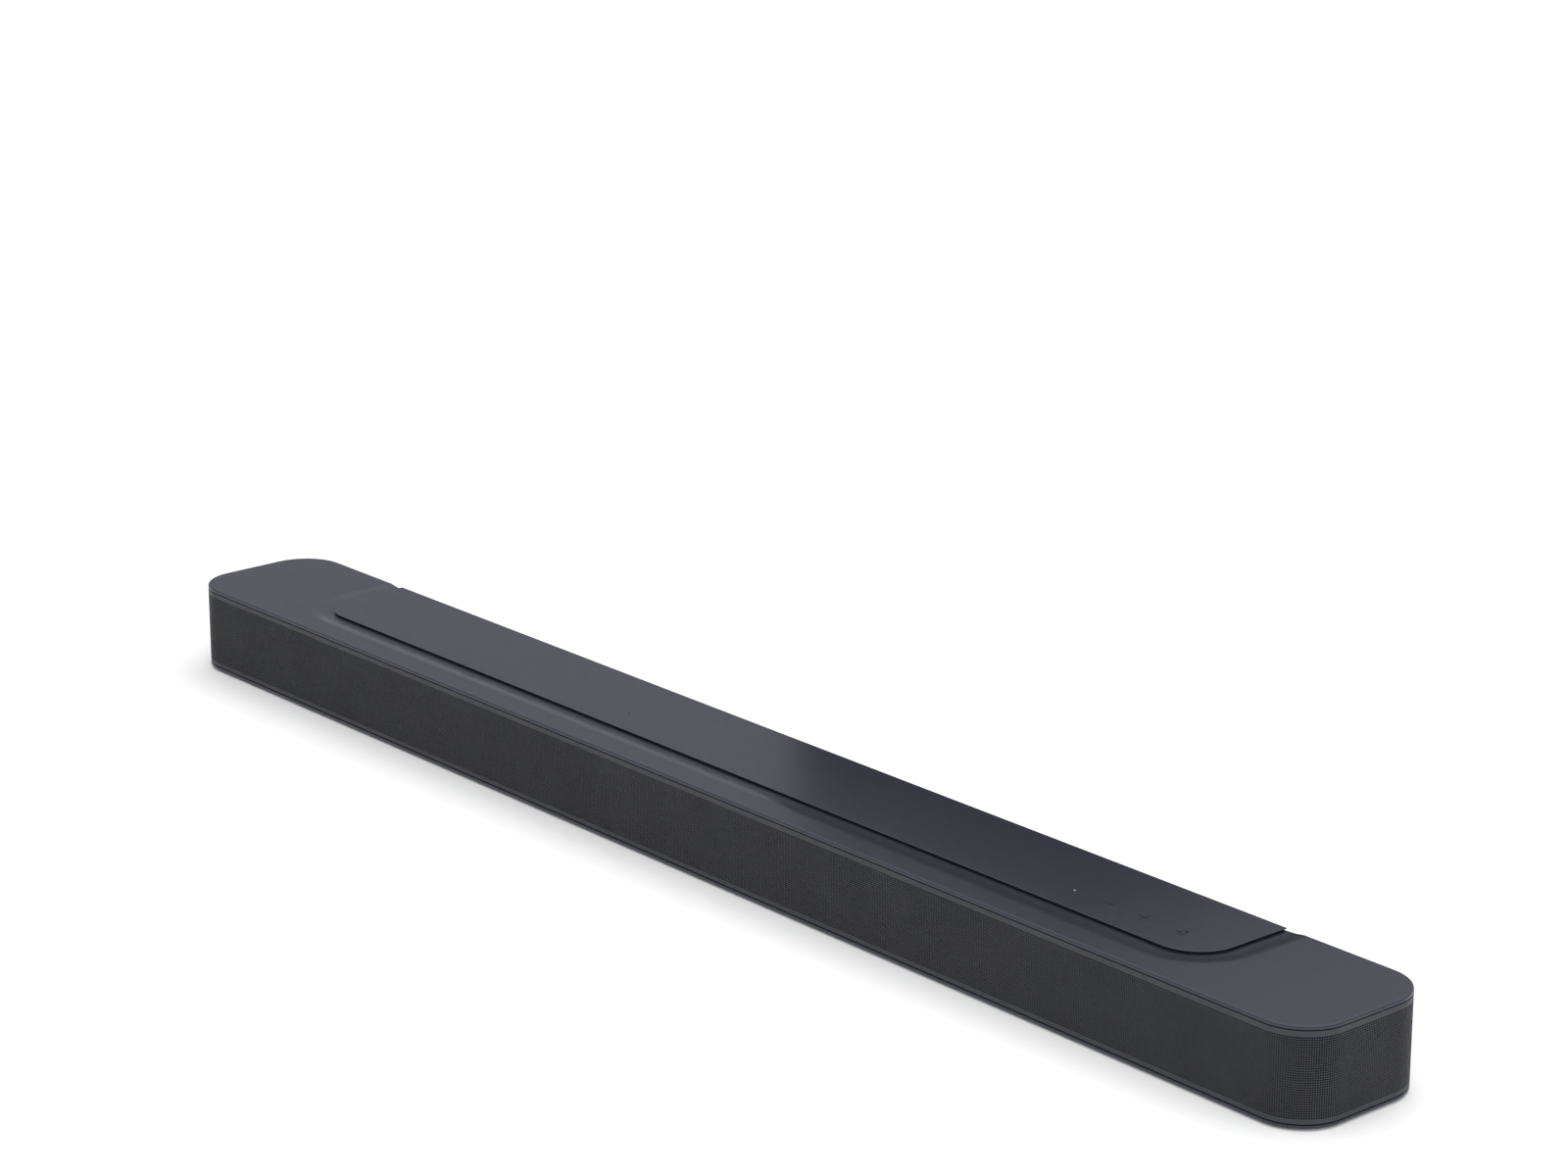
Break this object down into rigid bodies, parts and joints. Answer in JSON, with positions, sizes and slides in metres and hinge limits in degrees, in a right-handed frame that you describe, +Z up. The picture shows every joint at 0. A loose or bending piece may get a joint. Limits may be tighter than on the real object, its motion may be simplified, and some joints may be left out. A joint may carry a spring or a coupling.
{
  "type": "soundbar",
  "caption": "Long low soundbar with rounded ends, a wrap-around perforated steel grille, a raised top panel with flush keys, racetrack woofers, dome tweeters and rear connector bays.",
  "frame": {"origin": "middle of the footprint, on the surface that the rubber feet stand on", "axes": "+X along the bar to the listener's right, -Y is the front with the grille, +Y the rear with the connectors, +Z up"},
  "size_m": [1.018, 0.1, 0.058],
  "materials": {
    "shell_plastic": "fine textured charcoal moulding",
    "panel_plastic": "fine textured charcoal moulding, a little smoother",
    "inner_plastic": "black moulding",
    "grille_paint": "satin charcoal powder coat on perforated steel",
    "cloth": "black acoustic mesh",
    "steel": "zinc-plated sheet",
    "screw_steel": "black zinc",
    "ferrite": "ground ferrite and black plate",
    "rubber": "matt moulded rubber",
    "paper": "coated paper pulp",
    "silk": "coated silk",
    "board": "green solder mask",
    "light_guide": "clear light guide",
    "brass": "knurled insert",
    "aluminium": "extruded, natural",
    "sleeve": "shrunk sleeve",
    "sheath": "PVC sheath"
  },
  "bodies": {
    "casing": {"top_cover": "shell_plastic", "bottom_case": "shell_plastic", "rear_panel": "shell_plastic", "top_panel": "panel_plastic", "front_baffle": "inner_plastic", "power_inlet": "inner_plastic", "optical_port": "inner_plastic", "front_grille": "grille_paint", "acoustic_cloth": "cloth", "woofer_1_frame": "steel", "woofer_1_magnet": "ferrite", "woofer_1_surround": "rubber", "woofer_2_frame": "steel", "woofer_2_magnet": "ferrite", "woofer_2_surround": "rubber", "woofer_3_frame": "steel", "woofer_3_magnet": "ferrite", "woofer_3_surround": "rubber", "woofer_4_frame": "steel", "woofer_4_magnet": "ferrite", "woofer_4_surround": "rubber", "tweeter_left_housing": "inner_plastic", "tweeter_centre_housing": "inner_plastic", "tweeter_right_housing": "inner_plastic", "key_board": "board", "main_board": "board", "power_board": "board", "microphone_left": "steel", "microphone_right": "steel", "hdmi_out": "steel", "hdmi_in": "steel", "usb_port": "steel", "heat_sink": "aluminium", "transformer": "ferrite", "bulk_capacitor": "sleeve", "ribbon_lead": "sheath", "speaker_loom": "sheath", "foot_front_left": "rubber", "foot_front_right": "rubber", "foot_rear_left": "rubber", "foot_rear_right": "rubber", "case_screw_1": "screw_steel", "case_screw_2": "screw_steel", "case_screw_3": "screw_steel", "case_screw_4": "screw_steel", "wall_insert_1": "brass", "wall_insert_2": "brass"},
    "woofer_1_diaphragm": {"woofer_1_cone": "paper"},
    "woofer_2_diaphragm": {"woofer_2_cone": "paper"},
    "woofer_3_diaphragm": {"woofer_3_cone": "paper"},
    "woofer_4_diaphragm": {"woofer_4_cone": "paper"},
    "tweeter_left_diaphragm": {"tweeter_left_dome": "silk"},
    "tweeter_centre_diaphragm": {"tweeter_centre_dome": "silk"},
    "tweeter_right_diaphragm": {"tweeter_right_dome": "silk"},
    "power_button": {"key_power": "panel_plastic", "status_lens": "light_guide"},
    "volume_down_button": {"key_volume_down": "panel_plastic"},
    "volume_up_button": {"key_volume_up": "panel_plastic"},
    "source_button": {"key_source": "panel_plastic"},
    "optical_flap": {"optical_shutter": "inner_plastic"}
  },
  "joints": [
    {"name": "woofer_1_stroke", "type": "slide", "parent": "casing", "child": "woofer_1_diaphragm", "axis": [0, -1, 0], "range_m": [-0.0025, 0.0025], "stiffness_N_per_m": 1200},
    {"name": "woofer_2_stroke", "type": "slide", "parent": "casing", "child": "woofer_2_diaphragm", "axis": [0, -1, 0], "range_m": [-0.0025, 0.0025], "stiffness_N_per_m": 1200},
    {"name": "woofer_3_stroke", "type": "slide", "parent": "casing", "child": "woofer_3_diaphragm", "axis": [0, -1, 0], "range_m": [-0.0025, 0.0025], "stiffness_N_per_m": 1200},
    {"name": "woofer_4_stroke", "type": "slide", "parent": "casing", "child": "woofer_4_diaphragm", "axis": [0, -1, 0], "range_m": [-0.0025, 0.0025], "stiffness_N_per_m": 1200},
    {"name": "tweeter_left_stroke", "type": "slide", "parent": "casing", "child": "tweeter_left_diaphragm", "axis": [0, -1, 0], "range_m": [-0.0003, 0.0003], "stiffness_N_per_m": 900},
    {"name": "tweeter_centre_stroke", "type": "slide", "parent": "casing", "child": "tweeter_centre_diaphragm", "axis": [0, -1, 0], "range_m": [-0.0003, 0.0003], "stiffness_N_per_m": 900},
    {"name": "tweeter_right_stroke", "type": "slide", "parent": "casing", "child": "tweeter_right_diaphragm", "axis": [0, -1, 0], "range_m": [-0.0003, 0.0003], "stiffness_N_per_m": 900},
    {"name": "power_press", "type": "slide", "parent": "casing", "child": "power_button", "axis": [0, 0, -1], "range_m": [0, 0.0005], "stiffness_N_per_m": 900},
    {"name": "volume_down_press", "type": "slide", "parent": "casing", "child": "volume_down_button", "axis": [0, 0, -1], "range_m": [0, 0.0005], "stiffness_N_per_m": 900},
    {"name": "volume_up_press", "type": "slide", "parent": "casing", "child": "volume_up_button", "axis": [0, 0, -1], "range_m": [0, 0.0005], "stiffness_N_per_m": 900},
    {"name": "source_press", "type": "slide", "parent": "casing", "child": "source_button", "axis": [0, 0, -1], "range_m": [0, 0.0005], "stiffness_N_per_m": 900},
    {"name": "optical_flap_hinge", "type": "hinge", "parent": "casing", "child": "optical_flap", "pos_m": [-0.014, 0.0257, 0.0293], "axis": [-1, 0, 0], "range_deg": [0, 85], "stiffness_Nm_per_rad": 0.0006}
  ]
}
